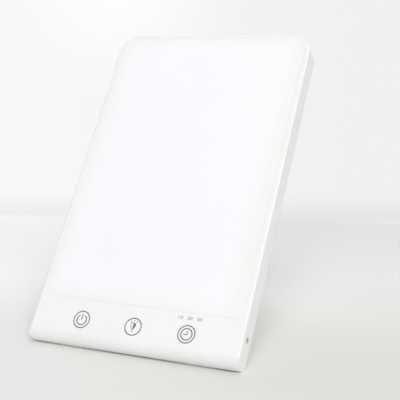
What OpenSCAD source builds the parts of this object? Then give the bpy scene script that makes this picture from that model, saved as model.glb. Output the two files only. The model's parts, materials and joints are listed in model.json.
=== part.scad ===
// Tablet light therapy lamp with an edge-lit window, touch keys and a fold-out stand.
//
// Most pieces are drawn in the tablet's own frame: X across, Y from the front face to the back,
// Z up the face from its rounded foot. on_table() then leans the tablet back on the table.
// The leg is drawn folded, with its hinge axis at the origin, and leg_place() opens it.
// Millimetres and degrees.

/* [Tablet] */
// Width of the tablet
tablet_w = 150; // [140:1:170]
// Height of the tablet, measured up its face
tablet_h = 243; // [238:1:260]
// Thickness of the tablet
tablet_t = 15; // [14.8:0.2:17]
// Radius of the two upper corners
corner_r = 16; // [14:0.5:19]
// Radius of the two lower corners
low_corner_r = 2.5; // [1.5:0.5:4]
// Rounding of the front edge
edge_r = 1.2; // [0.6:0.2:1.6]
// Side walls of the housing
wall = 2; // [1.8:0.1:2.3]
// Front wall behind the touch keys
front_wall = 2.2; // [2:0.1:2.6]
// Angle that the tablet leans back from upright
lean = 36; // [33:1:39]

/* [Window] */
// Rim beside the window
rim_side = 4; // [3:0.5:5]
// Rim above the window
rim_top = 3; // [2.5:0.5:4]
// Height of the control strip below the window
strip_h = 30.2; // [30:0.2:33]
// Thickness of the opal plate
diffuser_t = 2; // [1.6:0.1:2.2]
// Seam around the opal plate
window_seam = 0.05; // [0.03:0.01:0.2]
// Dim border of the window at each side
dim_side = 7; // [6:0.5:8]
// Dim border of the window above and below
dim_end = 6; // [5:0.5:7]
// Ledge that carries the window plate
ledge_t = 1.2; // [1:0.1:1.4]

/* [Light box] */
// Thickness of the adhesive frame
tape_t = 0.2; // [0.1:0.05:0.3]
// Thickness of the diffusing film
film_t = 0.25; // [0.15:0.05:0.35]
// Thickness of the light guide
guide_t = 3; // [2.6:0.1:3.2]
// How far the light guide reaches behind the ledge at each side
guide_lap = 3.2; // [2.6:0.1:3.4]
// Thickness of the reflector sheet
sheet_t = 0.3; // [0.2:0.05:0.4]
// Spacing of the LEDs
led_pitch = 7.6; // [6:0.2:10]
// Length of one LED along its bar
led_l = 3.5; // [2.8:0.1:4]
// Height of one LED above its bar
led_t = 1.1; // [0.8:0.1:1.2]
// Thickness of the LED bar
bar_t = 0.9; // [0.8:0.1:1]
// Width of the LED bar
bar_w = 6; // [5:0.2:6.6]
// Thickness of the heat spreader
spreader_t = 1.2; // [1:0.1:1.3]
// Width of the heat spreader's flange
spreader_flange = 8; // [5:0.5:9]

/* [Controls] */
// Spacing of the touch keys
key_pitch = 37.7; // [34:0.1:39]
// Height of the touch keys above the foot
key_z = 16.1; // [15:0.1:17]
// Diameter of the thinned pad behind a touch key
key_pad_d = 14; // [12:0.5:15]
// Depth of the thinned pad
key_pad_depth = 0.8; // [0.5:0.1:1]
// Spacing of the lit minute marks
mark_pitch = 6.5; // [6:0.1:7]
// Distance from the top of the control strip down to the minute marks
mark_drop = 3.7; // [3.6:0.1:4.2]
// Diameter of the touch springs
spring_d = 6.8; // [5:0.2:8]
// Diameter of the spring wire
spring_wire_d = 0.6; // [0.4:0.1:0.8]
// Thickness of the control board
board_t = 1.6; // [1.2:0.2:2]
// Depth of the board's front face
board_y = 6.5; // [6:0.1:6.8]
// Distance from the top of the control strip down to the power inlet
inlet_drop = 10.8; // [10.2:0.1:11.6]
// Diameter of the inlet hole in the side wall
inlet_d = 4.2; // [4:0.1:5]
// Length of the jack body
jack_l = 13; // [12:0.5:14]
// Width of the jack body
jack_w = 6.6; // [6.2:0.1:7]
// Diameter of the jack's socket
socket_d = 3.8; // [3.6:0.05:4]

/* [Cover] */
// Seam around the back cover
cover_seam = 0.15; // [0.1:0.05:0.3]
// Thickness of the back cover
cover_t = 2; // [1.8:0.1:2.2]
// Thickness of the recess floor
floor_t = 1.4; // [1.2:0.1:1.5]
// Thickness of the recess side walls and the cover's ribs
rib_t = 1.4; // [1.2:0.1:1.6]
// Diameter of the cover screws
screw_d = 2.2; // [2:0.1:2.3]
// Diameter of the screw heads
head_d = 4.2; // [3.8:0.1:4.4]
// Diameter of the screw bosses in the housing
boss_d = 5.2; // [4.8:0.1:5.4]
// Radius of the finger scoop
scoop_r = 11; // [9:0.5:12]
// Depth of the finger scoop
scoop_depth = 4; // [3:0.25:4.25]

/* [Stand] */
// Angle between the opened leg and the tablet
stand_angle = 48; // [46:1:52]
// Height of the hinge above the foot, measured up the tablet
hinge_z = 185; // [175:1:190]
// Width of the leg
leg_w = 60; // [50:1:64]
// Thickness of the leg
leg_t = 5; // [4.6:0.1:5.2]
// Skin of the leg behind its ribs
leg_skin = 2; // [1.6:0.1:2.4]
// Depth of the closed leg's face below the cover
leg_sink = 0.4; // [0.2:0.1:0.6]
// Radius of the leg's lower corners
leg_corner_r = 6; // [4:0.5:8]
// Diameter of the hinge pin
pin_d = 2.5; // [2:0.1:2.6]
// Wall of the leg round its hinge bore, towards the recess floor
barrel_wall = 1.1; // [0.9:0.05:1.2]
// How far the hinge axis lies inside the middle of the leg
hinge_offset = 0.6; // [0.4:0.05:0.7]
// Rubber under the leg
foot_pad_t = 1.5; // [1:0.1:2]
// Distance from the middle to each rubber strip under the tablet
pad_x = 45; // [40:1:50]
// Length of each rubber strip under the tablet
pad_l = 26; // [20:1:30]
// How far the rubber strips stand out
pad_out = 0.4; // [0.3:0.1:0.6]

/* [Hidden] */
$fn = 72;

WHITE = [0.95, 0.955, 0.96];
OPAL = [0.99, 0.99, 1];
CLEAR = [0.85, 0.92, 0.95];
RUBBER = [0.25, 0.25, 0.26];
STEEL = [0.72, 0.73, 0.75];
ALLOY = [0.8, 0.81, 0.82];
BOARD = [0.1, 0.38, 0.22];
BLACK = [0.08, 0.08, 0.09];

// Clearances
seat_gap = 0.05;      // between stacked sheets
fit_gap = 0.1;        // between a piece and its seat
tape_inset = 0.3;     // from the window's edge to the adhesive
slide_gap = 0.6;      // between the leg and its recess
stop_gap = 0.3;       // between the opened leg's heel and the recess floor
running_gap = 0.05;   // radial, leg on its pin
press_gap = 0.02;     // radial, pin and screws in their bosses
over = 1;             // how far a cutter runs past what it cuts

// Tablet outline
half_w = tablet_w / 2;
foot_r = tablet_t / 2;
inner_half = half_w - wall;
inner_top = tablet_h - wall;
inner_corner_r = corner_r - wall;
corner_x = half_w - corner_r;
corner_z = tablet_h - corner_r;

// Window
window_half = half_w - rim_side;
window_top = tablet_h - rim_top;
window_corner_r = corner_r - rim_side;
glow_half = window_half - dim_side;
glow_low = strip_h + dim_end;
glow_top = window_top - dim_end;
glow_corner_r = window_corner_r - 4;
mark_z = strip_h - mark_drop;
jack_z = strip_h - inlet_drop;

// Depths of the stacked pieces
ledge_y = diffuser_t + tape_t;
ledge_back = ledge_y + ledge_t;
film_y = ledge_back + seat_gap;
guide_y = film_y + film_t + seat_gap;
sheet_y = guide_y + guide_t + seat_gap;
stack_back = sheet_y + sheet_t + 2 * seat_gap;
recess_y = stack_back + floor_t;
cover_y = tablet_t - cover_t;
rib_back = cover_y - fit_gap;

// Light guide, LED bars and heat spreaders, from the middle to each side
guide_half = glow_half + guide_lap;
guide_low = glow_low - 2.2;
guide_top = glow_top + 3;
guide_corner_r = 12;
led_x = guide_half + fit_gap;
bar_x = led_x + led_t + press_gap;
spreader_x = bar_x + bar_t + seat_gap;
side_rib_x = spreader_x + spreader_t + fit_gap;
bar_low = guide_low + 4;
bar_top = guide_top - guide_corner_r + 1;
bar_y = guide_y - 0.15;
led_h = guide_t - 0.2;
led_count = floor((bar_top - bar_low - led_l - 2) / led_pitch) + 1;

// Ledge behind the window, and the space for the electronics below it
ledge_low = strip_h - 2;
side_rib_count = 5;
side_rib_t = 1.2;
side_rib_pitch = (bar_top - bar_low) / side_rib_count;
top_ribs = [20, 46];

// Control board and what it carries
board_low = 6.5;
board_high = ledge_low;
board_left = 18 - half_w;
jack_front = inner_half - fit_gap;
jack_back = jack_front - jack_l;
board_right = jack_back + 1.6;
board_back = board_y + board_t;
solder_gap = 0.05;
board_screw_d = 1.8;
standoff_d = 4.8;
light_pipe_end = key_pitch + mark_pitch + 2.6;
left_screw_x = board_left + 5;
low_right_screw_x = board_right - 9.5;
high_right_screw_x = light_pipe_end + 3 + standoff_d / 2;
high_screw_z = board_high - 4.7;
board_screw_places = [
    [left_screw_x, board_low + 4.5], [left_screw_x, high_screw_z],
    [low_right_screw_x, board_low + 3], [high_right_screw_x, high_screw_z]
];
connector = [7, 3.2, 4.5];
connector_step = 8;
left_connector_x = -left_screw_x - connector_step;
right_connector_x = high_right_screw_x - connector_step;
chip_place = [-22, 16];
chip = [10, 1.35, 6];
chip_legs = 8;
chip_leg_pitch = 1.2;
inductor_place = [22, 17];
capacitor_d = 4;
capacitor_l = 9;
capacitor_x = board_left + 11;
capacitor_zs = [10, 16];
pin_bore_back = 3;
jack_pin_d = 1.3;
jack_leg_l = 4.5;
indicator_t = 0.7;
lead_w = 2.4;
lead_t = 0.9;
lead_lap = 5;
lead_x = bar_x - lead_w / 2 - fit_gap;

// Cover
cover_half = inner_half - cover_seam;
cover_low = 9.6;
cover_top = inner_top - cover_seam;
cover_corner_r = inner_corner_r - cover_seam;
low_boss = [half_w - 9, strip_h - 3.3];
top_boss_step = (inner_corner_r - boss_d / 2 + 0.05) * sin(45);
top_boss = [corner_x + top_boss_step, corner_z + top_boss_step];
screw_places = [low_boss, [-low_boss[0], low_boss[1]], top_boss, [-top_boss[0], top_boss[1]]];
head_t = 1.6;
head_sink = 0.9;
screw_seat_y = tablet_t - head_sink - head_t - seat_gap;
screw_seat_t = 1.2;
screw_collar_r = head_d / 2 + 0.9;
boss_end = screw_seat_y - screw_seat_t - fit_gap;
screw_l = 7;
lead_turn_z = low_boss[1] + boss_d / 2 + fit_gap + lead_w / 2;
cover_ribs = [guide_half - 23.2, guide_half - 10.2];
cover_rib_low = guide_low + 4;
cover_rib_top = guide_top - 14;
cross_rib_end = guide_half - 6;
cross_rib_top = guide_low - 0.2;
hook_w = 8;
hook_t = 1.4;
hook_low_y = tablet_t - 5.4;
hook_reach = 0.75;

// Hinge and leg
pivot_y = tablet_t - leg_sink - leg_t / 2 - hinge_offset;
leg_out = hinge_offset + leg_t / 2;
leg_in = hinge_offset - leg_t / 2;
leg_tilt = stand_angle - lean;
pin_r = pin_d / 2;
barrel_r = pin_r + running_gap + barrel_wall;
leg_half = leg_w / 2;
recess_half = leg_half + slide_gap;
tub_half = recess_half + rib_t;
boss_out = tub_half + 4.4;
boss_half_h = 4.2;
clip_t = 0.4;
clip_r = pin_r + 1;
clip_groove_r = pin_r - 0.35;
pin_half = boss_out + clip_t + 0.8;
clip_room = 0.3;
heel_d = pivot_y - recess_y - stop_gap;
heel_top = (heel_d + leg_out * cos(stand_angle)) / sin(stand_angle);
heel_low = (heel_d + leg_in * cos(stand_angle)) / sin(stand_angle);
heel_swing = norm([leg_out, heel_top]);

// Place of the tablet on the table, with the whole lamp centred on the origin
foot_axis_y = foot_r * (cos(lean) + sin(lean));
foot_axis_z = foot_r * (cos(lean) - sin(lean));
lamp_front = foot_axis_y - foot_r;
lamp_back = tablet_t * cos(lean) + tablet_h * sin(lean);
tablet_y = -(lamp_front + lamp_back) / 2;
tablet_z = foot_r - foot_axis_z + pad_out;

// Length of the leg, from its hinge to the table
pivot_h = tablet_z + hinge_z * cos(lean) - pivot_y * sin(lean);
leg_reach = (pivot_h + hinge_offset * sin(leg_tilt)) / cos(leg_tilt);
leg_low = (pivot_h + leg_out * sin(leg_tilt)) / cos(leg_tilt);
recess_low = hinge_z - leg_low - slide_gap;
recess_top = hinge_z + heel_swing + stop_gap;
leg_wall = 1.8;
leg_rib_t = 1.2;
leg_cells = [3, 5];
hinge_block = 7;
foot_block = 7;
tongue_t = 1.8;
tongue_h = 2;

// Middle of the leg's foot in the level frame
foot_y = hinge_offset * cos(leg_tilt) + leg_reach * sin(leg_tilt);
foot_pad_half = leg_half - leg_corner_r;

// ---------- helpers ----------

module on_table() translate([0, tablet_y, tablet_z]) rotate([-lean, 0, 0]) children();

module leg_place() on_table() translate([0, pivot_y, hinge_z]) rotate([stand_angle, 0, 0]) children();

// Level frame of the opened leg, seen from the leg
module leg_level() rotate([-leg_tilt, 0, 0]) children();

// Level frame at the middle of the tablet's rounded foot
module foot_level() translate([0, foot_r, foot_r]) rotate([lean, 0, 0]) children();

module pair() {
    children();
    mirror([1, 0, 0]) children();
}

// Solid from depth y0 to y1 with an outline drawn in width and height
module slab(y0, y1) translate([0, y1, 0]) rotate([90, 0, 0]) linear_extrude(y1 - y0) children();

// Solid from x0 to x1 with a side profile drawn in depth and height
module bar(x0, x1) translate([x0, 0, 0]) rotate([90, 0, 90]) linear_extrude(x1 - x0) children();

module block(x0, x1, y0, y1, z0, z1) translate([x0, y0, z0]) cube([x1 - x0, y1 - y0, z1 - z0]);

// Round rod along the depth at a place on the face
module rod(place, r, y0, y1)
    translate([place[0], y0, place[1]]) rotate([-90, 0, 0]) cylinder(r = r, h = y1 - y0);

// Round rod across the width at a depth and height
module cross_rod(y, z, r, x0, x1)
    translate([x0, y, z]) rotate([0, 90, 0]) cylinder(r = r, h = x1 - x0);

// Upright outline with its own radius at the top and at the bottom
module outline(half, low, high, top_r, low_r) {
    translate([-half, low + low_r]) square([2 * half, high - top_r - low - low_r]);
    translate([top_r - half, low + low_r]) square([2 * (half - top_r), high - low - low_r]);
    translate([low_r - half, low]) square([2 * (half - low_r), high - top_r - low]);
    for (side = [-1, 1]) {
        translate([side * (half - top_r), high - top_r]) circle(top_r);
        translate([side * (half - low_r), low + low_r]) circle(low_r);
    }
}

// ---------- housing ----------

// Section of the tablet, with its front edges rounded
module edge_section(reach) {
    translate([0, edge_r]) square([reach, tablet_t - edge_r]);
    square([reach - edge_r, tablet_t]);
    translate([reach - edge_r, edge_r]) circle(edge_r);
}

// Foot profile: a full round below, open above
module foot_round(r) {
    translate([foot_r, foot_r]) circle(r);
    translate([foot_r - r, foot_r]) square([2 * r, tablet_h]);
}

module tablet_solid() {
    intersection() {
        union() {
            pair() linear_extrude(corner_z) edge_section(half_w);
            translate([0, 0, corner_z]) pair() bar(0, corner_x) rotate([0, 0, 90]) mirror([0, 1])
                edge_section(corner_r);
            pair() translate([corner_x, 0, corner_z]) rotate([-90, 0, 0]) rotate([0, 0, -90])
                rotate_extrude(angle = 90) edge_section(corner_r);
        }
        slab(-over, tablet_t + over) outline(half_w, 0, tablet_h + over, over, low_corner_r);
        bar(-half_w - over, half_w + over) foot_round(foot_r);
    }
}

// Space inside the housing, open at the back above the foot
module housing_space() {
    intersection() {
        slab(front_wall, cover_y) outline(inner_half, 0, inner_top, inner_corner_r, 1);
        bar(-half_w, half_w) foot_round(foot_r - wall);
    }
    slab(cover_y - over, tablet_t + over)
        outline(inner_half, cover_low, inner_top, inner_corner_r, 1);
}

module window_outline(grow)
    outline(window_half + grow, strip_h - grow, window_top + grow, window_corner_r + grow, 0.8);

module glow_outline(grow)
    outline(glow_half + grow, glow_low - grow, glow_top + grow, glow_corner_r + grow, 3);

// What stands inside the housing: ledge, ribs, screw bosses, board standoffs and jack cradle
module housing_inside() {
    slab(ledge_y, ledge_back) outline(inner_half + over / 2, ledge_low, inner_top + over / 2, inner_corner_r, 0.5);
    pair() for (i = [0 : side_rib_count - 1]) {
        z = bar_low + (i + 0.5) * side_rib_pitch;
        block(side_rib_x, inner_half + over, ledge_y, rib_back, z - side_rib_t / 2, z + side_rib_t / 2);
    }
    pair() for (x = top_ribs)
        block(x - side_rib_t / 2, x + side_rib_t / 2, ledge_y, rib_back, guide_top + 0.2, inner_top + over);
    for (place = screw_places) rod(place, boss_d / 2, over, boss_end);
    for (place = board_screw_places) rod(place, standoff_d / 2, over, board_y - solder_gap);
    for (side = [-1, 1]) {
        z = jack_z + side * (jack_w / 2 + fit_gap + side_rib_t / 2);
        block(jack_back + 3, jack_front - 1, over, foot_r + 1, z - side_rib_t / 2, z + side_rib_t / 2);
    }
}

// Rubber strip wrapped round the foot, from its underside
module foot_strip(r0, r1, half_angle, half_l) {
    foot_level() translate([-half_l, 0, 0]) rotate([90, 0, 90]) rotate([0, 0, -90 - half_angle])
        rotate_extrude(angle = 2 * half_angle)
            translate([r0, 0]) square([r1 - r0, 2 * half_l]);
}

module front_housing() {
    color(WHITE) on_table() difference() {
        union() {
            difference() {
                tablet_solid();
                housing_space();
            }
            intersection() {
                tablet_solid();
                housing_inside();
            }
        }
        // window rebate and opening
        slab(-over, ledge_y) window_outline(0);
        slab(diffuser_t, ledge_back + over) glow_outline(0);
        // thinned pads and light pipe pockets
        for (i = [-1 : 1]) {
            rod([i * key_pitch, key_z], key_pad_d / 2, front_wall - key_pad_depth, front_wall + over);
            x = key_pitch + i * mark_pitch;
            block(x - 2.4, x + 2.4, 0.9, front_wall + over, mark_z - 1.2, mark_z + 1.2);
        }
        // power inlet
        cross_rod(foot_r, jack_z, inlet_d / 2, inner_half - 0.5, half_w + over);
        // screw bores
        for (place = screw_places) rod(place, screw_d / 2 + press_gap, boss_end - screw_l, boss_end + over);
        for (place = board_screw_places)
            rod(place, board_screw_d / 2 + press_gap, front_wall, board_y + over);
        // pockets for the cover's snap hooks
        pair() for (i = [1 : side_rib_count - 1])
            block(inner_half - over, inner_half + hook_reach + fit_gap - cover_seam, hook_low_y + 0.2,
                hook_low_y + 2, bar_low + i * side_rib_pitch - hook_w / 2 - 0.4,
                bar_low + i * side_rib_pitch + hook_w / 2 + 0.4);
        // pockets for the rubber strips
        pair() translate([pad_x, 0, 0]) foot_strip(foot_r - 0.8, foot_r + over, 25, pad_l / 2 + fit_gap);
    }
}

// ---------- light box ----------

module diffuser_plate() {
    color(OPAL) on_table() slab(0, diffuser_t) window_outline(-window_seam);
}

module diffuser_tape() {
    color([0.9, 0.9, 0.88]) on_table() difference() {
        slab(diffuser_t, ledge_y) window_outline(-tape_inset);
        slab(0, ledge_back) glow_outline(1.5);
    }
}

module diffuser_film() {
    color(OPAL) on_table() slab(film_y, film_y + film_t) guide_outline();
}

module guide_outline() outline(guide_half, guide_low, guide_top, guide_corner_r, 1);

module light_guide_plate() {
    color(CLEAR) on_table() slab(guide_y, guide_y + guide_t) guide_outline();
}

module reflector_sheet() {
    color([1, 1, 1]) on_table() slab(sheet_y, sheet_y + sheet_t) guide_outline();
}

module led_bar() {
    color([0.93, 0.93, 0.9]) block(bar_x, bar_x + bar_t, bar_y, bar_y + bar_w, bar_low, bar_top);
}

module led_chips() {
    first = (bar_low + bar_top - (led_count - 1) * led_pitch) / 2;
    color([0.98, 0.9, 0.45]) for (i = [0 : led_count - 1])
        translate([led_x, guide_y + (guide_t - led_h) / 2, first + i * led_pitch - led_l / 2])
            cube([led_t, led_h, led_l]);
}

module heat_spreader() {
    color(ALLOY) {
        block(spreader_x, spreader_x + spreader_t, bar_y, rib_back - 0.2, bar_low, bar_top);
        block(spreader_x + spreader_t - spreader_flange, spreader_x + spreader_t / 2,
            rib_back - 0.2 - spreader_t, rib_back - 0.2, bar_low, bar_top);
    }
}

module led_bar_right() on_table() led_bar();
module led_bar_left() on_table() mirror([1, 0, 0]) led_bar();
module led_chips_right() on_table() led_chips();
module led_chips_left() on_table() mirror([1, 0, 0]) led_chips();
module heat_spreader_right() on_table() heat_spreader();
module heat_spreader_left() on_table() mirror([1, 0, 0]) heat_spreader();

// ---------- back cover ----------

module recess_outline(grow)
    outline(recess_half + grow, recess_low - grow, recess_top + grow, 1, leg_corner_r + slide_gap + grow);

module snap_hook(z) {
    block(cover_half - hook_t, cover_half, hook_low_y, cover_y + 0.5, z - hook_w / 2, z + hook_w / 2);
    translate([0, 0, z - hook_w / 2]) linear_extrude(hook_w) polygon([
        [cover_half - 0.1, hook_low_y], [cover_half, hook_low_y],
        [cover_half + hook_reach - 0.1, hook_low_y + 1.2], [cover_half + hook_reach - 0.1, hook_low_y + 1.6],
        [cover_half - 0.1, hook_low_y + 1.6]
    ]);
}

module cover_solid() {
    slab(cover_y, tablet_t) outline(cover_half, cover_low + cover_seam, cover_top, cover_corner_r, 1);
    // tub of the recess and of the finger scoop
    slab(stack_back, cover_y + 0.5) recess_outline(rib_t);
    rod([0, recess_low], scoop_r + rib_t, tablet_t - scoop_depth - floor_t, cover_y + 0.5);
    // hinge bosses
    pair() block(recess_half, boss_out, recess_y, cover_y + 0.5, hinge_z - boss_half_h, hinge_z + boss_half_h);
    // screw bosses, cut to the cover's outline
    intersection() {
        for (place = screw_places) rod(place, screw_collar_r, screw_seat_y - screw_seat_t, cover_y + 0.5);
        slab(0, tablet_t) outline(cover_half - 0.2, cover_low + cover_seam, cover_top - 0.2, cover_corner_r, 1);
    }
    // ribs behind the reflector and across the light guide's lower edge
    pair() for (x = cover_ribs)
        block(x - rib_t / 2, x + rib_t / 2, stack_back, cover_y + 0.5, cover_rib_low, cover_rib_top);
    pair() block(tub_half - 0.5, cross_rib_end, guide_y, cover_y + 0.5, cross_rib_top - rib_t, cross_rib_top);
    pair() for (i = [1 : side_rib_count - 1]) snap_hook(bar_low + i * side_rib_pitch);
}

module back_cover() {
    color(WHITE) on_table() difference() {
        cover_solid();
        slab(recess_y, tablet_t + over) recess_outline(0);
        rod([0, recess_low], scoop_r, tablet_t - scoop_depth, tablet_t + over);
        cross_rod(pivot_y, hinge_z, pin_r + press_gap, -boss_out - over, boss_out + over);
        // room for the pin's clips
        pair() block(boss_out, pin_half + clip_room, pivot_y - clip_r - clip_room,
            pivot_y + clip_r + clip_room, hinge_z - clip_r - clip_room, hinge_z + clip_r + clip_room);
        for (place = screw_places) {
            rod(place, screw_d / 2 + fit_gap, 0, tablet_t + over);
            rod(place, head_d / 2 + fit_gap, screw_seat_y, tablet_t + over);
        }
    }
}

module cover_screws() {
    color(STEEL) on_table() for (place = screw_places) difference() {
        union() {
            rod(place, screw_d / 2, boss_end - screw_l + 0.5, screw_seat_y + 0.5);
            rod(place, head_d / 2, screw_seat_y + seat_gap, screw_seat_y + seat_gap + head_t);
        }
        // cross slot
        for (turn = [0, 90]) translate([place[0], screw_seat_y + head_t + over, place[1]])
            rotate([0, turn, 0]) cube([0.6, 2 * over, 2.4], center = true);
    }
}

// ---------- electronics ----------

module control_board() {
    color(BOARD) on_table() difference() {
        block(board_left, board_right, board_y, board_back, board_low, board_high);
        block(jack_back - fit_gap, board_right + over, board_y - over, board_back + over,
            jack_z - jack_w / 2 - fit_gap, jack_z + jack_w / 2 + fit_gap);
        // clear of the recess above the board
        slab(board_y - over, board_back + over) recess_outline(rib_t + 0.5);
        for (place = board_screw_places)
            rod(place, board_screw_d / 2 + fit_gap, board_y - over, board_back + over);
    }
}

module board_screws() {
    color(STEEL) on_table() for (place = board_screw_places) {
        rod(place, board_screw_d / 2, front_wall + 0.5, board_back + 0.5);
        rod(place, 1.7, board_back + solder_gap, board_back + 1.2);
    }
}

// Point on the spring's centre line: turn angle a, wire circle angle b
function spring_point(a, b, r, rise) =
    let (radial = [cos(a), sin(a), 0], run = [-sin(a), cos(a), rise / (6.2832 * r)])
    let (along = run / norm(run), up = cross(radial, along))
    r * radial + [0, 0, rise * a / 360] + spring_wire_d / 2 * (cos(b) * radial + sin(b) * up);

// Helical spring from depth y0 to y1
module spring(y0, y1) {
    turns = 4;
    steps = 12;
    sides = 6;
    last = turns * steps;
    r = (spring_d - spring_wire_d) / 2;
    rise = (y1 - y0 - spring_wire_d - 0.02) / turns;
    points = [for (i = [0 : last], j = [0 : sides - 1]) spring_point(i * 360 / steps, j * 360 / sides, r, rise)];
    wrap = [for (i = [0 : last - 1], j = [0 : sides - 1], half = [0, 1])
        let (k = (j + 1) % sides, low = i * sides, high = low + sides)
        half == 0 ? [low + j, low + k, high + k] : [low + j, high + k, high + j]];
    caps = [for (j = [1 : sides - 2], end = [0, 1])
        end == 0 ? [0, j + 1, j] : [last * sides, last * sides + j, last * sides + j + 1]];
    translate([0, y0 + spring_wire_d / 2 + 0.01, key_z]) rotate([-90, 0, 0])
        polyhedron(points, concat(wrap, caps), convexity = 6);
}

module touch_spring(i) {
    color(STEEL) on_table() translate([i * key_pitch, 0, 0])
        spring(front_wall - key_pad_depth + solder_gap, board_y - solder_gap);
}

module touch_spring_power() touch_spring(-1);
module touch_spring_brightness() touch_spring(0);
module touch_spring_timer() touch_spring(1);

module indicator_leds() {
    color(OPAL) on_table() for (i = [-1 : 1]) {
        x = key_pitch + i * mark_pitch;
        block(x - 1, x + 1, board_y - solder_gap - indicator_t, board_y - solder_gap, mark_z - 0.6, mark_z + 0.6);
    }
}

module timer_light_pipe() {
    pipe_y = front_wall + seat_gap;
    color(CLEAR) on_table() {
        block(2 * key_pitch - light_pipe_end, light_pipe_end, pipe_y, pipe_y + 1.3, mark_z - 1.5, mark_z + 1.5);
        for (i = [-1 : 1]) {
            x = key_pitch + i * mark_pitch;
            block(x - 2.2, x + 2.2, 0.95, pipe_y + 0.2, mark_z - 1, mark_z + 1);
            block(x - 1.2, x + 1.2, pipe_y + 1, board_y - indicator_t - 2 * solder_gap, mark_z - 0.8, mark_z + 0.8);
        }
    }
}

module controller_chip() {
    color(BLACK) on_table() translate([chip_place[0], board_back, chip_place[1]]) {
        translate([-chip[0] / 2, 0.25, -chip[2] / 2]) cube(chip);
        for (i = [0 : chip_legs - 1], side = [-1, 1])
            translate([(i - (chip_legs - 1) / 2) * chip_leg_pitch, 0.3, side * (chip[2] / 2 + 0.35)])
                cube([0.45, 0.5, 1.7], center = true);
    }
}

module power_inductor() {
    color([0.3, 0.3, 0.32]) on_table() {
        rod(inductor_place, 4, board_back + solder_gap, board_back + 1);
        rod(inductor_place, 3.2, board_back + solder_gap, board_back + 3.6);
        rod(inductor_place, 4, board_back + 2.8, board_back + 3.8);
    }
}

module smoothing_capacitors() {
    color([0.2, 0.22, 0.3]) on_table() for (z = capacitor_zs)
        cross_rod(board_back + solder_gap + capacitor_d / 2, z, capacitor_d / 2,
            capacitor_x, capacitor_x + capacitor_l);
}

module led_connectors() {
    color(OPAL) on_table() for (x = [-left_connector_x, right_connector_x])
        translate([x - connector[0] / 2, board_back + solder_gap, board_high - connector[2]]) cube(connector);
}

// Flat twin lead from its connector at x, along the cross rib and up to the LED bar
module led_lead(x) {
    color([0.85, 0.2, 0.18]) slab(bar_y + bar_w - lead_t, bar_y + bar_w) {
        translate([x - lead_w / 2, board_high + fit_gap]) square([lead_w, lead_turn_z - board_high - fit_gap]);
        translate([x, lead_turn_z]) circle(lead_w / 2);
        translate([x, lead_turn_z - lead_w / 2]) square([lead_x - x, lead_w]);
        translate([lead_x, lead_turn_z]) circle(lead_w / 2);
        translate([lead_x - lead_w / 2, lead_turn_z]) square([lead_w, bar_low + lead_lap - lead_turn_z]);
    }
}

module led_lead_right() on_table() led_lead(right_connector_x);
module led_lead_left() on_table() mirror([1, 0, 0]) led_lead(left_connector_x);

module dc_jack() {
    color(BLACK) on_table() {
        difference() {
            block(jack_back, jack_front, foot_r - jack_w / 2, foot_r + jack_w / 2,
                jack_z - jack_w / 2, jack_z + jack_w / 2);
            cross_rod(foot_r, jack_z, socket_d / 2, jack_back + pin_bore_back, jack_front + over);
        }
    }
    color(STEEL) on_table() for (side = [-1, 1])
        block(jack_back - jack_leg_l, jack_back + 0.5, board_back + solder_gap, board_back + 0.45,
            jack_z + side * 2.2 - 0.8, jack_z + side * 2.2 + 0.8);
}

module dc_jack_pin() {
    color(STEEL) on_table()
        cross_rod(foot_r, jack_z, jack_pin_d / 2, jack_back + pin_bore_back + seat_gap, jack_front - 1);
}

// ---------- rubber, hinge and leg ----------

module base_pads() {
    color(RUBBER) on_table() intersection() {
        pair() translate([pad_x, 0, 0]) foot_strip(foot_r - 0.75, foot_r + 2 * pad_out, 24, pad_l / 2);
        foot_level() translate([-half_w, -foot_r, -foot_r - pad_out]) cube([tablet_w, tablet_t, tablet_t]);
    }
}

module leg_solid() {
    intersection() {
        bar(-leg_half, leg_half) {
            polygon([[leg_in, -leg_low - over], [leg_out, -leg_low - over],
                [leg_out, heel_top], [leg_in, heel_low]]);
            circle(barrel_r);
        }
        slab(-leg_t, leg_t) outline(leg_half, -leg_reach, heel_top + over, 0.5, leg_corner_r);
    }
}

// Cells between the leg's ribs, open towards the recess floor
module leg_cells() {
    high = -hinge_block;
    low = foot_block - leg_reach;
    span_x = 2 * (leg_half - leg_wall);
    cell_w = (span_x - (leg_cells[0] - 1) * leg_rib_t) / leg_cells[0];
    cell_h = (high - low - (leg_cells[1] - 1) * leg_rib_t) / leg_cells[1];
    for (i = [0 : leg_cells[0] - 1], j = [0 : leg_cells[1] - 1])
        translate([leg_wall - leg_half + i * (cell_w + leg_rib_t), -leg_t, low + j * (cell_h + leg_rib_t)])
            cube([cell_w, leg_t + leg_out - leg_skin, cell_h]);
}

module stand_leg() {
    color(WHITE) leg_place() difference() {
        leg_solid();
        leg_cells();
        cross_rod(0, 0, pin_r + running_gap, -leg_half - over, leg_half + over);
        leg_level() translate([-leg_half - over, foot_y - 2 * leg_t, -pivot_h - leg_t])
            cube([leg_w + 2 * over, 4 * leg_t, leg_t + foot_pad_t]);
        leg_level() translate([-foot_pad_half - fit_gap, foot_y - tongue_t / 2 - fit_gap, -pivot_h])
            cube([2 * (foot_pad_half + fit_gap), tongue_t + 2 * fit_gap, foot_pad_t + tongue_h + fit_gap]);
    }
}

module stand_foot_pad() {
    color(RUBBER) leg_place() leg_level() {
        translate([-foot_pad_half, foot_y - leg_t / 2 + 0.1, -pivot_h])
            cube([2 * foot_pad_half, leg_t - 0.2, foot_pad_t - seat_gap]);
        translate([-foot_pad_half, foot_y - tongue_t / 2, -pivot_h + 0.5])
            cube([2 * foot_pad_half, tongue_t, foot_pad_t + tongue_h - 0.5]);
    }
}

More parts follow.
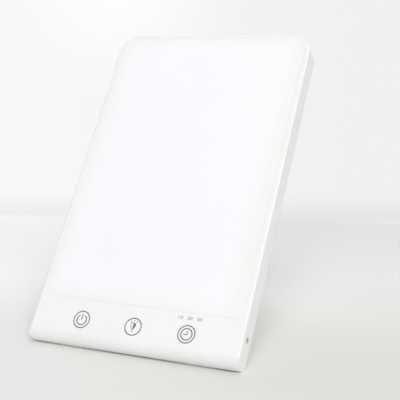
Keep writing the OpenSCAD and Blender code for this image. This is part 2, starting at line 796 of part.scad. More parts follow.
module hinge_pin() {
    color(STEEL) on_table() difference() {
        cross_rod(pivot_y, hinge_z, pin_r, -pin_half, pin_half);
        pair() difference() {
            cross_rod(pivot_y, hinge_z, pin_r + over, boss_out + seat_gap, boss_out + 2 * seat_gap + clip_t);
            cross_rod(pivot_y, hinge_z, clip_groove_r, boss_out, pin_half);
        }
    }
}

module hinge_washers() {
    color(STEEL) on_table() pair() difference() {
        cross_rod(pivot_y, hinge_z, barrel_r, leg_half + seat_gap, recess_half - seat_gap);
        cross_rod(pivot_y, hinge_z, pin_r + running_gap, 0, tub_half);
    }
}

module hinge_clips() {
    x0 = boss_out + 1.5 * seat_gap;
    color(STEEL) on_table() pair() difference() {
        cross_rod(pivot_y, hinge_z, clip_r, x0, x0 + clip_t);
        cross_rod(pivot_y, hinge_z, clip_groove_r + press_gap, x0 - over, x0 + clip_t + over);
        block(x0 - over, x0 + clip_t + over, pivot_y - 0.8, pivot_y + 0.8, hinge_z, hinge_z + clip_r);
    }
}

front_housing();
diffuser_plate();
diffuser_tape();
diffuser_film();
light_guide_plate();
reflector_sheet();
led_bar_left();
led_bar_right();
led_chips_left();
led_chips_right();
heat_spreader_left();
heat_spreader_right();
back_cover();
cover_screws();
control_board();
board_screws();
touch_spring_power();
touch_spring_brightness();
touch_spring_timer();
indicator_leds();
timer_light_pipe();
controller_chip();
power_inductor();
smoothing_capacitors();
led_connectors();
led_lead_left();
led_lead_right();
dc_jack();
dc_jack_pin();
base_pads();
stand_leg();
hinge_pin();
hinge_washers();
hinge_clips();
stand_foot_pad();
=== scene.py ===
"""Looks of a tablet light therapy lamp: finishes, printed touch keys, glow, table, light and camera.

Metres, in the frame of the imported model. Sizes on the lamp's face are in millimetres.
"""

import json
import math

import bmesh
import bpy
from mathutils import Matrix, Vector


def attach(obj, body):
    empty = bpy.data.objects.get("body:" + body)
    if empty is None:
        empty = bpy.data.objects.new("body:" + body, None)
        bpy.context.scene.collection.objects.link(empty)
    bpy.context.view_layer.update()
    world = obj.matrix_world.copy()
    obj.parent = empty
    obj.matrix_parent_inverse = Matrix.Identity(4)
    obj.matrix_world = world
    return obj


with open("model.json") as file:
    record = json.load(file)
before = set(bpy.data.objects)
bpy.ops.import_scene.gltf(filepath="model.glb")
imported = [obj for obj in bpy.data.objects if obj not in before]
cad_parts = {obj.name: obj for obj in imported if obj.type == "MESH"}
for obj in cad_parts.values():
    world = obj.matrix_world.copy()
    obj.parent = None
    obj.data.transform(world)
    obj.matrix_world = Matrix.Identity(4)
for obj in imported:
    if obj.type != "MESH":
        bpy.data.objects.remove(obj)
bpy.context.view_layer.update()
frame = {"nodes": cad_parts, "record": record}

MM = 0.001

# ---------- camera, fitted to the photograph ----------

PHOTO_WIDTH = 400
FOCAL_PIXELS = 894.7
SENSOR_WIDTH = 36
CAMERA_PLACE = Vector((0.2619, -0.5523, 0.1996))
CAMERA_DOWN = math.radians(10.18)
CAMERA_LEFT = math.radians(23.99)
CAMERA_ROLL = math.radians(-0.16)


def make_camera():
    data = bpy.data.cameras.new("photo_camera")
    data.sensor_width = SENSOR_WIDTH
    data.lens = FOCAL_PIXELS / PHOTO_WIDTH * SENSOR_WIDTH
    camera = bpy.data.objects.new("photo_camera", data)
    turn = Matrix.Rotation(CAMERA_LEFT, 4, "Z")
    tilt = Matrix.Rotation(math.pi / 2 - CAMERA_DOWN, 4, "X")
    roll = Matrix.Rotation(CAMERA_ROLL, 4, "Z")
    camera.matrix_world = Matrix.Translation(CAMERA_PLACE) @ turn @ tilt @ roll
    bpy.context.scene.collection.objects.link(camera)
    bpy.context.scene.camera = camera


make_camera()

# ---------- the tablet's own frame ----------

LEAN = math.radians(36)
TABLET_T = 15
ACROSS = Vector((1, 0, 0))
INTO = Vector((0, math.cos(LEAN), -math.sin(LEAN)))
UP_FACE = Vector((0, math.sin(LEAN), math.cos(LEAN)))

# The inlet lies in the middle of the tablet's thickness, at this height above the foot
INLET_Z = 19.4
inlet = next(m for m in frame["record"]["mounts"] if m["name"] == "dc_inlet")
INLET_PLACE = Vector(inlet["pos_m"])
INLET_R = inlet["dims"]["r_mm"]

# Lowest point of the face's middle line, as if the face ran on to the foot
FOOT = INLET_PLACE - ACROSS * INLET_PLACE.x - INTO * TABLET_T / 2 * MM - UP_FACE * INLET_Z * MM


def on_face(x, z, out):
    """Point of the front face, in millimetres across, up the face and out from it."""
    return FOOT + (ACROSS * x + UP_FACE * z - INTO * out) * MM


# ---------- building a material ----------

# Noise keeps to the middle of 0 to 1, so a look runs from one end to the other between these margins
NOISE_MARGIN = 0.3
STRONG_MARGIN = 0.35
BEVEL_SAMPLES = 4


class Finish:
    """A material's node tree, with short calls to build it. Places are the model's own, in metres."""

    def __init__(self, name):
        self.material = bpy.data.materials.new(name)
        self.material.use_nodes = True
        self.tree = self.material.node_tree
        self.tree.nodes.clear()
        self.output = self.add("OutputMaterial")
        self.shader = self.add("BsdfPrincipled")
        self.join(self.shader, "BSDF", self.output, "Surface")
        self.place = self.add("TexCoord").outputs["Object"]

    def add(self, kind, **settings):
        node = self.tree.nodes.new("ShaderNode" + kind)
        for key, value in settings.items():
            setattr(node, key, value)
        return node

    def join(self, node, output, target, slot):
        self.tree.links.new(node.outputs[output], target.inputs[slot])

    def feed(self, value, socket):
        """Sets a socket from another node's output, or to a number or colour."""
        if isinstance(value, bpy.types.NodeSocket):
            self.tree.links.new(value, socket)
        else:
            socket.default_value = value

    def fill(self, node, values):
        """Feeds a node's first sockets in their order."""
        for value, socket in zip(values, node.inputs):
            self.feed(value, socket)
        return node

    def math(self, operation, *values):
        return self.fill(self.add("Math", operation=operation), values).outputs[0]

    def vector(self, operation, *values):
        node = self.fill(self.add("VectorMath", operation=operation), values)
        return node.outputs["Value" if operation in ("DOT_PRODUCT", "DISTANCE") else "Vector"]

    def mix(self, factor, first, second):
        """Shader between two shaders."""
        return self.fill(self.add("MixShader"), (factor, first, second)).outputs[0]

    def blend(self, factor, low, high):
        """Colour between two colours."""
        node = self.add("Mix", data_type="RGBA", clamp_factor=True)
        self.feed(factor, node.inputs["Factor"])
        colours = [socket for socket in node.inputs if socket.type == "RGBA"]
        for value, socket in zip((low, high), colours):
            self.feed((*value, 1) if isinstance(value, tuple) else value, socket)
        return next(socket for socket in node.outputs if socket.type == "RGBA")

    def ramp(self, value, low, high, start=0.0, end=1.0, smooth=False):
        """Maps value from start..end to low..high, numbers or colours."""
        if isinstance(low, tuple):
            return self.blend(self.ramp(value, 0.0, 1.0, start, end, smooth), low, high)
        node = self.add("MapRange", interpolation_type="SMOOTHSTEP" if smooth else "LINEAR")
        self.feed(value, node.inputs["Value"])
        for name, number in zip(("From Min", "From Max", "To Min", "To Max"), (start, end, low, high)):
            node.inputs[name].default_value = number
        return node.outputs["Result"]

    def noise(self, size_mm, detail=2.0, roughness=0.5, stretch=(1, 1, 1)):
        """Noise from 0 to 1 with features of that size."""
        texture = self.add("TexNoise")
        texture.inputs["Scale"].default_value = 1 / (size_mm * MM)
        texture.inputs["Detail"].default_value = detail
        texture.inputs["Roughness"].default_value = roughness
        self.feed(self.vector("MULTIPLY", self.place, stretch), texture.inputs["Vector"])
        return texture.outputs["Fac"]

    def vary(self, noise, low, high, margin=NOISE_MARGIN):
        """Numbers or colours from low to high, as the noise goes."""
        return self.ramp(noise, low, high, margin, 1 - margin)

    def set(self, **values):
        """Shader values by name, with spaces written as underscores."""
        for name, value in values.items():
            socket = self.shader.inputs[name.replace("_", " ")]
            if isinstance(value, tuple) and len(value) == 3 and socket.type == "RGBA":
                value = (*value, 1)
            self.feed(value, socket)

    def relief(self, height, depth_mm, edge_mm=0.0):
        """Bump of that depth over edges that are softened by edge_mm."""
        bump = self.add("Bump")
        bump.inputs["Distance"].default_value = depth_mm * MM
        bump.inputs["Strength"].default_value = 1
        self.feed(height, bump.inputs["Height"])
        if edge_mm:
            bevel = self.add("Bevel", samples=BEVEL_SAMPLES)
            bevel.inputs["Radius"].default_value = edge_mm * MM
            self.join(bevel, "Normal", bump, "Normal")
        self.join(bump, "Normal", self.shader, "Normal")

    def across_face(self):
        """Millimetres to the right of the face's middle."""
        return self.vector("DOT_PRODUCT", self.place, tuple(ACROSS / MM))

    def up_face(self):
        """Millimetres up the face from its foot."""
        from_foot = self.vector("SUBTRACT", self.place, tuple(FOOT))
        return self.vector("DOT_PRODUCT", from_foot, tuple(UP_FACE / MM))


# ---------- housing ----------

WHITE = (0.885, 0.888, 0.885)
WHITE_DARK = (0.87, 0.873, 0.868)
WHITE_ROUGHNESS = 0.62

# The wall of the inlet's hole is painted grey as shade in the recess, to look as dark as it does in the
# photograph.
# The painted shade lies beyond BORE_START to the right of the face's middle, and has a soft edge
BORE_SHADE_COLOUR = (0.64, 0.64, 0.645)
BORE_START = 70
BORE_EDGE = 0.06


def bore_shade_mask(f):
    """1 where painted shade darkens the wall of the inlet's hole, 0 elsewhere."""
    beside = f.vector("MULTIPLY", f.place, (0, 1, 1))
    radius = f.vector("DISTANCE", beside, (0, INLET_PLACE.y, INLET_PLACE.z))
    near = f.ramp(radius, 1.0, 0.0, INLET_R * MM, (INLET_R + BORE_EDGE) * MM)
    return f.math("MULTIPLY", near, f.ramp(f.across_face(), 0.0, 1.0, BORE_START, BORE_START + BORE_EDGE))


def moulded():
    """Injection-moulded plastic: fine spark-eroded grain and slow drifts of tone and gloss, with painted
    shade on the wall of the inlet's hole.
    """
    f = Finish("housing_plastic")
    drift = f.noise(45, detail=3)
    tone = f.vary(drift, WHITE_DARK, WHITE, STRONG_MARGIN)
    gloss = f.noise(9, detail=4)
    f.set(
        # painted shade on the wall of the inlet's hole, in place of the white plastic's tone
        Base_Color=f.blend(bore_shade_mask(f), tone, BORE_SHADE_COLOUR),
        Roughness=f.vary(gloss, WHITE_ROUGHNESS - 0.04, WHITE_ROUGHNESS + 0.04),
        Specular_IOR_Level=0.2,
    )
    f.relief(f.noise(0.35, detail=3, roughness=0.6), depth_mm=0.004, edge_mm=0.3)
    return f.material


# ---------- lit window ----------

ACRYLIC_IOR = 1.49
OPAL_DARK = (0.70, 0.705, 0.71)
OPAL_LIGHT = (0.715, 0.72, 0.725)

# The glow on the face: its middle, half width, foot and top, corner radius, and half of its soft edge
GLOW_X = -2.0
GLOW_HALF = 63
GLOW_LOW = 36.2
GLOW_TOP = 234
GLOW_CORNER = 8
GLOW_EDGE = 9

# Light given under the rim and inside it, and the share of it that is left at the foot
GLOW_BORDER = (0.188, 0.186, 0.158)
GLOW_MIDDLE = (0.226, 0.218, 0.246)
GLOW_AT_FOOT = 0.92


def beyond_glow(f, across, up):
    """Millimetres outside the glow's rounded outline, less than 0 inside it."""
    sides = (
        (f.math("SUBTRACT", across, GLOW_X), GLOW_HALF),
        (f.math("SUBTRACT", up, (GLOW_TOP + GLOW_LOW) / 2), (GLOW_TOP - GLOW_LOW) / 2),
    )
    beyond = [f.math("SUBTRACT", f.math("ABSOLUTE", value), half - GLOW_CORNER) for value, half in sides]
    outside = [f.math("MAXIMUM", b, 0.0) for b in beyond]
    corner = f.math("SQRT", f.math("ADD", *[f.math("POWER", o, 2.0) for o in outside]))
    inside = f.math("MINIMUM", f.math("MAXIMUM", *beyond), 0.0)
    return f.math("SUBTRACT", f.math("ADD", corner, inside), GLOW_CORNER)


def opal():
    """Opal acrylic that glows inside the ledge's opening and fades under the rim."""
    f = Finish("opal_plastic")
    up = f.up_face()
    beyond = beyond_glow(f, f.across_face(), up)
    f.set(
        Base_Color=f.vary(f.noise(60), OPAL_DARK, OPAL_LIGHT),
        Roughness=f.vary(f.noise(6, detail=3), 0.34, 0.42),
        IOR=ACRYLIC_IOR,
        Emission_Color=f.ramp(beyond, GLOW_BORDER, GLOW_MIDDLE, GLOW_EDGE, -GLOW_EDGE, smooth=True),
        Emission_Strength=f.ramp(up, GLOW_AT_FOOT, 1.0, GLOW_LOW, GLOW_TOP),
    )
    f.relief(f.noise(0.25, detail=2), depth_mm=0.002, edge_mm=0.15)
    return f.material


# ---------- other materials ----------

INK_DARK = (0.105, 0.105, 0.108)
INK_LIGHT = (0.13, 0.13, 0.135)


def print_ink():
    """Grey pad-printed ink, a little uneven."""
    f = Finish("print_ink")
    f.set(
        Base_Color=f.vary(f.noise(0.6, detail=3), INK_DARK, INK_LIGHT),
        Roughness=f.vary(f.noise(0.3), 0.5, 0.62),
    )
    f.relief(f.noise(0.15), depth_mm=0.002)
    return f.material


def rubber(name, dark, light):
    """Matt rubber with a fine open grain."""
    f = Finish(name)
    f.set(
        Base_Color=f.vary(f.noise(3, detail=4), dark, light),
        Roughness=f.vary(f.noise(1.5, detail=3), 0.75, 0.9),
    )
    f.relief(f.noise(0.4, detail=4, roughness=0.7), depth_mm=0.02, edge_mm=0.3)
    return f.material


def metal(name, dark, light, roughness, stretch=(1, 1, 1), grain_mm=0.3):
    """Metal with a fine grain, drawn out into lines along an axis whose stretch is below 1."""
    f = Finish(name)
    lines = f.noise(grain_mm, detail=4, roughness=0.65, stretch=stretch)
    f.set(
        Base_Color=f.vary(lines, dark, light),
        Roughness=f.vary(lines, roughness - 0.06, roughness + 0.08),
        Metallic=1.0,
    )
    f.relief(lines, depth_mm=0.003, edge_mm=0.1)
    return f.material


def clear(name):
    """Polished acrylic, with a colour and a clearness that are set by the caller."""
    f = Finish(name)
    f.set(IOR=ACRYLIC_IOR, Roughness=f.vary(f.noise(8, detail=3), 0.03, 0.08))
    return f


def guide_acrylic(dots_mm=1.6, dot_in=0.28, dot_out=0.34):
    """Light guide with printed white dots, whose edge lies between dot_in and dot_out of their spacing."""
    f = clear("guide_acrylic")
    cells = f.add("TexVoronoi", feature="F1")
    cells.inputs["Scale"].default_value = 1 / (dots_mm * MM)
    cells.inputs["Randomness"].default_value = 0.0
    f.feed(f.place, cells.inputs["Vector"])
    dot = f.ramp(cells.outputs["Distance"], 1.0, 0.0, dot_in, dot_out)
    f.set(
        Base_Color=f.ramp(dot, (0.93, 0.965, 0.97), (0.95, 0.95, 0.95)),
        Transmission_Weight=f.ramp(dot, 0.96, 0.1),
    )
    f.relief(f.noise(5, detail=2), depth_mm=0.004, edge_mm=0.1)
    return f.material


def pipe_acrylic():
    """Clear light pipe."""
    f = clear("pipe_acrylic")
    f.set(
        Base_Color=f.vary(f.noise(2), (0.9, 0.94, 0.95), (0.95, 0.97, 0.975)),
        Transmission_Weight=0.95,
    )
    f.relief(f.noise(5, detail=2), depth_mm=0.004, edge_mm=0.1)
    return f.material


def sheet(name, dark, light, roughness, fibre_mm, transmission=0.0):
    """Thin film or tape with a soft fibre or matt coat."""
    f = Finish(name)
    fibre = f.noise(fibre_mm, detail=5, roughness=0.7)
    f.set(
        Base_Color=f.vary(fibre, dark, light),
        Roughness=f.vary(f.noise(4, detail=3), roughness - 0.05, roughness + 0.05),
        Transmission_Weight=transmission,
    )
    f.relief(fibre, depth_mm=0.004)
    return f.material


# Share of a board's relief that its tracks give. The rest is its weave
TRACK_SHARE = 0.7


def board(name, mask, copper, pitch_mm):
    """Circuit board: solder mask over raised copper tracks."""
    f = Finish(name)
    tracks = f.add("TexBrick", offset=0.37)
    tracks.inputs["Scale"].default_value = 1 / (pitch_mm * MM)
    tracks.inputs["Mortar Size"].default_value = 0.035
    tracks.inputs["Mortar Smooth"].default_value = 0.3
    f.feed(f.place, tracks.inputs["Vector"])
    weave = f.noise(0.5, detail=3)
    track = tracks.outputs["Fac"]
    f.set(
        Base_Color=f.ramp(track, mask, copper),
        Roughness=f.vary(weave, 0.28, 0.4),
    )
    height = f.math("ADD", f.math("MULTIPLY", track, TRACK_SHARE), f.math("MULTIPLY", weave, 1 - TRACK_SHARE))
    f.relief(height, depth_mm=0.03)
    return f.material


def speckled(name, dark, light, roughness, grain_mm, depth_mm=0.01):
    """Moulded resin, ferrite, sleeve or phosphor with a visible grain."""
    f = Finish(name)
    grain = f.noise(grain_mm, detail=4, roughness=0.7)
    f.set(
        Base_Color=f.vary(grain, dark, light, STRONG_MARGIN),
        Roughness=f.vary(grain, roughness - 0.06, roughness + 0.06),
    )
    f.relief(grain, depth_mm, edge_mm=0.1)
    return f.material


# ---------- the CAD nodes dressed ----------


def dress(material, slot, *names):
    """Gives CAD nodes a material. Its slot argument is not used."""
    for name in names:
        piece = frame["nodes"][name]
        piece.data.materials.clear()
        piece.data.materials.append(material)


def dress_housing():
    dress(moulded(), "housing_plastic", "front_housing", "back_cover", "stand_leg")


def dress_window():
    dress(opal(), "opal_plastic", "diffuser_plate")
    dress(
        sheet("adhesive_tape", dark=(0.62, 0.62, 0.6), light=(0.75, 0.75, 0.72), roughness=0.6, fibre_mm=0.4),
        "adhesive_tape", "diffuser_tape",
    )
    dress(
        sheet("diffusing_film", (0.82, 0.83, 0.84), (0.9, 0.9, 0.9), roughness=0.5, fibre_mm=0.2,
              transmission=0.3),
        "film", "diffuser_film",
    )
    dress(
        sheet("reflector_film", (0.88, 0.88, 0.88), (0.94, 0.94, 0.94), roughness=0.3, fibre_mm=0.8),
        "film", "reflector_sheet",
    )
    dress(guide_acrylic(), "clear_acrylic", "light_guide_plate")
    dress(pipe_acrylic(), "clear_acrylic", "timer_light_pipe")


def dress_light_source():
    dress(
        board("led_board", mask=(0.82, 0.82, 0.8), copper=(0.74, 0.74, 0.7), pitch_mm=6),
        "led_board", "led_bar_left", "led_bar_right",
    )
    dress(
        speckled("led_phosphor", (0.78, 0.66, 0.16), (0.9, 0.82, 0.4), roughness=0.45, grain_mm=0.3),
        "led_phosphor", "led_chips_left", "led_chips_right", "indicator_leds",
    )
    dress(
        metal("aluminium", (0.6, 0.61, 0.62), (0.72, 0.73, 0.74), roughness=0.38, stretch=(1, 1, 0.04)),
        "aluminium", "heat_spreader_left", "heat_spreader_right",
    )


def dress_hardware():
    dress(
        metal("steel", (0.42, 0.42, 0.43), (0.58, 0.58, 0.59), roughness=0.32, stretch=(0.05, 1, 1)),
        "steel", "cover_screws", "board_screws", "dc_jack_pin", "hinge_pin", "hinge_washers", "hinge_clips",
    )
    dress(
        metal("spring_steel", (0.5, 0.5, 0.51), (0.66, 0.66, 0.67), roughness=0.25, grain_mm=0.2),
        "spring_steel", "touch_spring_power", "touch_spring_brightness", "touch_spring_timer",
    )


def dress_electronics():
    dress(
        board("circuit_board", mask=(0.02, 0.13, 0.06), copper=(0.04, 0.2, 0.1), pitch_mm=4),
        "circuit_board", "control_board",
    )
    dress(
        speckled("black_resin", (0.008, 0.008, 0.009), (0.02, 0.02, 0.021), roughness=0.55, grain_mm=0.4),
        "black_resin", "controller_chip", "dc_jack",
    )
    dress(
        speckled("ferrite", (0.05, 0.05, 0.052), (0.1, 0.1, 0.1), roughness=0.6, grain_mm=0.5),
        "ferrite", "power_inductor",
    )
    dress(
        speckled("capacitor_sleeve", (0.025, 0.03, 0.06), (0.035, 0.045, 0.08), roughness=0.3, grain_mm=1.2,
                 depth_mm=0.004),
        "capacitor_sleeve", "smoothing_capacitors",
    )
    dress(
        speckled("connector_plastic", (0.74, 0.72, 0.64), (0.8, 0.78, 0.7), roughness=0.45, grain_mm=0.8,
                 depth_mm=0.004),
        "connector_plastic", "led_connectors",
    )
    dress(
        speckled("wire_sleeve", (0.42, 0.03, 0.025), (0.5, 0.05, 0.04), roughness=0.4, grain_mm=1.0,
                 depth_mm=0.004),
        "wire_sleeve", "led_lead_left", "led_lead_right",
    )


def dress_feet():
    dress(rubber("rubber", (0.045, 0.045, 0.047), (0.065, 0.065, 0.068)), "rubber", "stand_foot_pad")
    dress(rubber("pale_rubber", (0.50, 0.50, 0.49), (0.58, 0.58, 0.57)), "rubber", "base_pads")


dress_housing()
dress_window()
dress_light_source()
dress_hardware()
dress_electronics()
dress_feet()

# ---------- printed keys and minute marks ----------

INK_T = 0.02
JOIN_DISTANCE = 1e-7


class Print:
    """Flat ink on the face, built from strokes and filled outlines around a centre in millimetres."""

    def __init__(self, name, x, z):
        self.name = name
        self.centre = (x, z)
        self.mesh = bmesh.new()

    def point(self, x, z, out):
        return self.mesh.verts.new(on_face(self.centre[0] + x, self.centre[1] + z, out))

    def fill(self, outline):
        """Solid ink inside an outline of (x, z) points, drawn anticlockwise."""
        front = [self.point(x, z, INK_T) for x, z in outline]
        back = [self.point(x, z, 0) for x, z in outline]
        self.mesh.faces.new(front)
        self.mesh.faces.new(back[::-1])
        for i in range(len(outline)):
            k = (i + 1) % len(outline)
            self.mesh.faces.new((front[k], front[i], back[i], back[k]))

    def stroke(self, points, width, closed=False):
        """Line of ink through points, square-ended, or a ring where it is closed."""
        count = len(points)
        sides = []
        for i, (x, z) in enumerate(points):
            before = points[(i - 1) % count] if closed or i else points[0]
            after = points[(i + 1) % count] if closed or i < count - 1 else points[-1]
            along = Vector((after[0] - before[0], after[1] - before[1])).normalized()
            side = Vector((-along.y, along.x)) * width / 2
            sides.append([(x + side.x, z + side.y), (x - side.x, z - side.y)])
        for i in range(count if closed else count - 1):
            (a, b), (c, d) = sides[i], sides[(i + 1) % count]
            self.fill([b, d, c, a])

    def arc(self, z, radius, start, end, width, steps):
        """Round stroke about the middle at height z, from one angle to another in degrees."""
        closed = abs(end - start) >= 360
        turns = [math.radians(start + (end - start) * i / steps) for i in range(steps + (not closed))]
        self.stroke([(radius * math.cos(t), z + radius * math.sin(t)) for t in turns], width, closed)

    def finish(self, material):
        bmesh.ops.remove_doubles(self.mesh, verts=self.mesh.verts, dist=JOIN_DISTANCE)
        bmesh.ops.recalc_face_normals(self.mesh, faces=self.mesh.faces)
        data = bpy.data.meshes.new(self.name)
        self.mesh.to_mesh(data)
        self.mesh.free()
        piece = bpy.data.objects.new(self.name, data)
        bpy.context.scene.collection.objects.link(piece)
        data.materials.append(material)
        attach(piece, "lamp")


# The keys' places on the face, and the ring that is round each
POWER_X = -38.0
BRIGHTNESS_X = 0.0
TIMER_X = 37.5
KEY_Z = 16.1
LINE_W = 0.72
RING_R = 5.66
RING_STEPS = 72


def key_print(name, x):
    key = Print(name, x, KEY_Z)
    key.arc(0, RING_R, 0, 360, LINE_W, RING_STEPS)
    return key


# Power symbol: an open ring and a bar. The ring's angles leave a gap at the top
POWER_R = 3.45
POWER_DROP = 0.15
POWER_TURN = (122, 418)
POWER_STEPS = 48
POWER_BAR = (3.9, -0.2)


def power_key(ink):
    key = key_print("power_key_print", POWER_X)
    key.arc(-POWER_DROP, POWER_R, *POWER_TURN, LINE_W, POWER_STEPS)
    key.stroke([(0, z) for z in POWER_BAR], LINE_W)
    key.finish(ink)


# Bulb: a round head, a neck that narrows to its base, a cap line, and rays round the head
BULB_R = 1.75
BULB_Z = 1.0
BULB_TURN = range(0, 121, 12)
BULB_NECK = (0.75, -1.4)
BULB_BASE = (0.7, -2.2)
BULB_LINE = 0.4
CAP_HALF = 0.55
CAP_Z = -2.95
CAP_LINE = 0.55
RAY_TURNS = (-38, 0, 38)
RAY_Z = 0.9
RAY_REACH = (2.6, 3.7)
RAY_LINE = 0.45


def bulb_half(side):
    """Outline of half a bulb, from its tip down to its base, on one side of the middle."""
    turns = [math.radians(a) for a in BULB_TURN]
    head = [(side * BULB_R * math.sin(t), BULB_Z + BULB_R * math.cos(t)) for t in turns]
    return head + [(side * x, z) for x, z in (BULB_NECK, BULB_BASE)]


def brightness_key(ink):
    """The bulb is solid on its right and an outline on its left."""
    key = key_print("brightness_key_print", BRIGHTNESS_X)
    key.fill([(0, BULB_BASE[1]), *bulb_half(1)[::-1]])
    key.stroke(bulb_half(-1), BULB_LINE)
    key.stroke([(-CAP_HALF, CAP_Z), (CAP_HALF, CAP_Z)], CAP_LINE)
    for turn in RAY_TURNS:
        a = math.radians(turn)
        key.stroke([(r * math.sin(a), RAY_Z + r * math.cos(a)) for r in RAY_REACH], RAY_LINE)
    key.finish(ink)


# Clock: an inner ring and two hands, through the upper hand's tip, their corner and the left hand's tip
CLOCK_R = 3.75
CLOCK_STEPS = 60
CLOCK_HANDS = [(0.35, 2.2), (0.35, -0.25), (-1.9, -0.25)]
HAND_LINE = 0.65


def timer_key(ink):
    key = key_print("timer_key_print", TIMER_X)
    key.arc(0, CLOCK_R, 0, 360, LINE_W, CLOCK_STEPS)
    key.stroke(CLOCK_HANDS, HAND_LINE)
    key.finish(ink)


# Minute marks over the timer key, and the digits in them
MARK_PITCH = 6.5
MARK_Z = 26.5
MARK_LEFT = -1.9
DIGIT_H = 1.75
DIGIT_W = 1.3
DIGIT_GAP = 0.5
DIGIT_LINE = 0.3
ZERO_TURN = range(0, 360, 15)
ONE_STEM = 0.62
ONE_SIDE = 0.2
ONE_FLAG = 0.42
TWO_TURN = range(165, -46, -15)
THREE_TOP_TURN = range(150, -91, -20)
THREE_FOOT_TURN = range(90, -151, -20)
THREE_BELLY = 1.05
PRIME_H = 0.55
PRIME_LEAN = 0.12


def oval(x, z, across, up, turns):
    """Points on an oval about (x, z), at those angles in degrees."""
    return [(x + across * math.cos(a), z + up * math.sin(a)) for a in map(math.radians, turns)]


def digit(mark, kind, x):
    """One stroke-drawn digit with its left side at x."""
    half_w, half_h = DIGIT_W / 2, DIGIT_H / 2
    middle = x + half_w
    if kind == "1":
        stem = x + ONE_STEM
        flag = (x + ONE_SIDE, half_h - ONE_FLAG)
        mark.stroke([flag, (stem, half_h), (stem, -half_h)], DIGIT_LINE)
    if kind == "0":
        mark.stroke(oval(middle, 0, half_w, half_h, ZERO_TURN), DIGIT_LINE, closed=True)
    if kind == "2":
        bowl = oval(middle, half_h - half_w, half_w, half_w, TWO_TURN)
        mark.stroke(bowl + [(x, -half_h), (x + DIGIT_W, -half_h)], DIGIT_LINE)
    if kind == "3":
        r = DIGIT_H / 4
        mark.stroke(oval(middle, r, r, r, THREE_TOP_TURN), DIGIT_LINE)
        mark.stroke(oval(middle, -r, r * THREE_BELLY, r, THREE_FOOT_TURN), DIGIT_LINE)


def minute_marks(ink):
    """10, 20 and 30, each with a prime for minutes."""
    for i, tens in enumerate("123"):
        mark = Print(f"minute_mark_{tens}0", TIMER_X + (i - 1) * MARK_PITCH, MARK_Z)
        digit(mark, tens, MARK_LEFT)
        digit(mark, "0", MARK_LEFT + DIGIT_W + DIGIT_GAP)
        end = MARK_LEFT + 2 * DIGIT_W + 2 * DIGIT_GAP
        top = DIGIT_H / 2
        mark.stroke([(end + PRIME_LEAN, top), (end, top - PRIME_H)], DIGIT_LINE)
        mark.finish(ink)


ink = print_ink()
power_key(ink)
brightness_key(ink)
timer_key(ink)
minute_marks(ink)

# ---------- table and backdrop ----------

# Where the wall stands, from the origin along its own direction, how the backdrop curves up to it,
# and how far the wall, the table and both of their sides reach
WALL_TURN = math.radians(20.3)
WALL_DISTANCE = 0.385
WALL_CURVE = 0.03
CURVE_STEPS = 12
WALL_HEIGHT = 1.3
TABLE_FRONT = 1.6
STAGE_HALF = 2.2

# The table stands this many millimetres above the frame's foot plane, as the rubber gives under the lamp
RUBBER_GIVE = 0.3

# Colours from left to right: the table by the viewer and by the wall, then the wall's foot and the wall.
# Their pale tone is the board's own; being lighter to the left and towards the wall is painted light, and the
# wall's darker foot is painted shade
TABLE_FRONT_COLOURS = ((0.772, 0.769, 0.755), (0.722, 0.711, 0.686))
TABLE_BACK_COLOURS = ((0.905, 0.905, 0.905), (0.785, 0.790, 0.786))
WALL_FOOT_SHADE_COLOURS = ((0.831, 0.847, 0.855), (0.775, 0.783, 0.800))
WALL_COLOURS = ((0.935, 0.930, 0.952), (0.880, 0.876, 0.897))

# Where each change of colour starts and ends, in the backdrop's own frame
TABLE_FRONT_SPAN = (-0.1, 0.12)
TABLE_BACK_SPAN = (-0.16, 0.15)
TABLE_DEPTH_SPAN = (-0.1, 0.16)
WALL_SPAN = (-0.2, 0.18)
WALL_FOOT_SPAN = (0.0, WALL_CURVE)
TABLE_TO_WALL_SPAN = (0.0, WALL_CURVE / 5)

# Bright patch of light high on the wall, in the backdrop's own frame
PATCH_PLACE = (-0.10, WALL_DISTANCE, 0.27)
PATCH_RADIUS = 0.15
PATCH_COLOUR = (0.995, 0.99, 1.0)


def seen(f):
    """1 where the camera, a reflection or a clear piece looks, 0 where matt surfaces take their light."""
    path = f.add("LightPath")
    glossy = f.math("MAXIMUM", path.outputs["Is Glossy Ray"], path.outputs["Is Transmission Ray"])
    return f.math("MAXIMUM", path.outputs["Is Camera Ray"], glossy)


# Pale table tone with painted light: lighter to the left and towards the wall
def table_colour_and_painted_light(f, x, y):
    front = f.ramp(x, *TABLE_FRONT_COLOURS, *TABLE_FRONT_SPAN, smooth=True)
    back = f.ramp(x, *TABLE_BACK_COLOURS, *TABLE_BACK_SPAN, smooth=True)
    return f.blend(f.ramp(y, 0.0, 1.0, *TABLE_DEPTH_SPAN, smooth=True), front, back)


# Pale wall tone with painted light to the left and in a patch high up, and painted shade at its foot
def wall_colour_and_painted_light(f, x, z):
    # painted shade in the band where the wall meets the table
    foot = f.ramp(x, *WALL_FOOT_SHADE_COLOURS, *WALL_SPAN, smooth=True)
    high = f.ramp(x, *WALL_COLOURS, *WALL_SPAN, smooth=True)
    from_patch = f.vector("DISTANCE", f.place, PATCH_PLACE)
    high = f.blend(f.ramp(from_patch, 1.0, 0.0, 0.0, PATCH_RADIUS, smooth=True), high, PATCH_COLOUR)
    return f.blend(f.ramp(z, 0.0, 1.0, *WALL_FOOT_SPAN, smooth=True), foot, high)


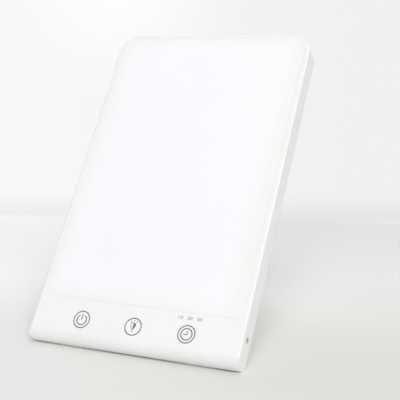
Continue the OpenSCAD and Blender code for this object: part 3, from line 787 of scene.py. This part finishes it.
def backdrop_finish():
    """Matt pale board with a plainly coloured wall, seen from its front only, both carrying painted light and
    shade.
    """
    f = Finish("backdrop")
    separate = f.add("SeparateXYZ")
    f.feed(f.place, separate.inputs[0])
    x, y, z = separate.outputs
    f.set(Base_Color=table_colour_and_painted_light(f, x, y), Roughness=0.75, Specular_IOR_Level=0.25)
    f.relief(f.noise(1.2, detail=3), 0.01)
    plain = f.add("Emission")
    f.feed(wall_colour_and_painted_light(f, x, z), plain.inputs["Color"])
    on_wall = f.ramp(z, 0.0, 1.0, *TABLE_TO_WALL_SPAN, smooth=True)
    plain_share = f.math("MULTIPLY", on_wall, seen(f))
    front = f.mix(plain_share, f.shader.outputs["BSDF"], plain.outputs["Emission"])
    # the back of the wall lets light and other views through
    backfacing = f.add("NewGeometry").outputs["Backfacing"]
    sides = f.mix(backfacing, front, f.add("BsdfTransparent").outputs["BSDF"])
    f.feed(sides, f.output.inputs["Surface"])
    return f.material


def backdrop_profile():
    """Table, a small curve, and the wall, as (distance, height) points from front to top."""
    turns = [math.pi / 2 * i / CURVE_STEPS for i in range(CURVE_STEPS + 1)]
    start = WALL_DISTANCE - WALL_CURVE
    bend = [(start + WALL_CURVE * math.sin(a), WALL_CURVE - WALL_CURVE * math.cos(a)) for a in turns]
    return [(-TABLE_FRONT, 0.0), *bend, (WALL_DISTANCE, WALL_HEIGHT)]


def make_backdrop():
    """One sheet, swept along the wall's direction."""
    mesh = bmesh.new()
    rows = [[mesh.verts.new((x, y, z)) for x in (-STAGE_HALF, STAGE_HALF)] for y, z in backdrop_profile()]
    for (a, b), (c, d) in zip(rows, rows[1:]):
        mesh.faces.new((a, b, d, c)).smooth = True
    data = bpy.data.meshes.new("backdrop")
    mesh.to_mesh(data)
    mesh.free()
    piece = bpy.data.objects.new("backdrop", data)
    piece.rotation_euler.z = WALL_TURN
    piece.location.z = RUBBER_GIVE * MM
    bpy.context.scene.collection.objects.link(piece)
    data.materials.append(backdrop_finish())


make_backdrop()

# ---------- light ----------

SKY_LEVEL = 0.18
SKY_SEEN = 0.96
SKY_COLOUR = (0.995, 0.998, 1.0)
LIT_PLACE = Vector((0, 0, 0.1))

# Name, degrees right of the front, degrees up, distance, size, and level
SOFT_BOXES = (
    ("key", 37, 50, 5.0, 3.44, 0.60),
    ("right", 88, 26, 3.0, 1.8, 0.052),
    ("low_front", 23, 19, 3.0, 1.8, 0.26),
    ("rear", 168, 62, 3.0, 2.0, 0.455),
)


def soft_box(name, right, up, distance, size, level):
    """Square soft light. Level 1 shows the colour of a surface that faces it about as written."""
    data = bpy.data.lights.new(name, "AREA")
    data.shape = "SQUARE"
    data.size = size
    data.energy = level * (math.pi * distance) ** 2
    lamp = bpy.data.objects.new(name, data)
    turn = Matrix.Rotation(math.radians(right), 3, "Z") @ Matrix.Rotation(math.radians(-up), 3, "X")
    way = turn @ Vector((0, -1, 0))
    lamp.location = LIT_PLACE + way * distance
    lamp.rotation_euler = (-way).to_track_quat("-Z", "Y").to_euler()
    bpy.context.scene.collection.objects.link(lamp)


def make_sky():
    """Even light from all round, which itself is seen as white."""
    world = bpy.data.worlds.new("studio")
    world.use_nodes = True
    tree = world.node_tree
    sky = tree.nodes["Background"]
    plain = tree.nodes.new("ShaderNodeBackground")
    for node, strength in ((sky, SKY_LEVEL), (plain, SKY_SEEN)):
        node.inputs["Color"].default_value = (*SKY_COLOUR, 1)
        node.inputs["Strength"].default_value = strength
    path = tree.nodes.new("ShaderNodeLightPath")
    sight = path.outputs["Is Camera Ray"]
    for kind in ("Is Glossy Ray", "Is Transmission Ray"):
        either = tree.nodes.new("ShaderNodeMath")
        either.operation = "MAXIMUM"
        tree.links.new(sight, either.inputs[0])
        tree.links.new(path.outputs[kind], either.inputs[1])
        sight = either.outputs[0]
    mix = tree.nodes.new("ShaderNodeMixShader")
    for value, socket in zip((sight, sky.outputs[0], plain.outputs[0]), mix.inputs):
        tree.links.new(value, socket)
    tree.links.new(mix.outputs[0], tree.nodes["World Output"].inputs["Surface"])
    bpy.context.scene.world = world


make_sky()
for box in SOFT_BOXES:
    soft_box(*box)
bpy.context.scene.view_settings.view_transform = "Standard"
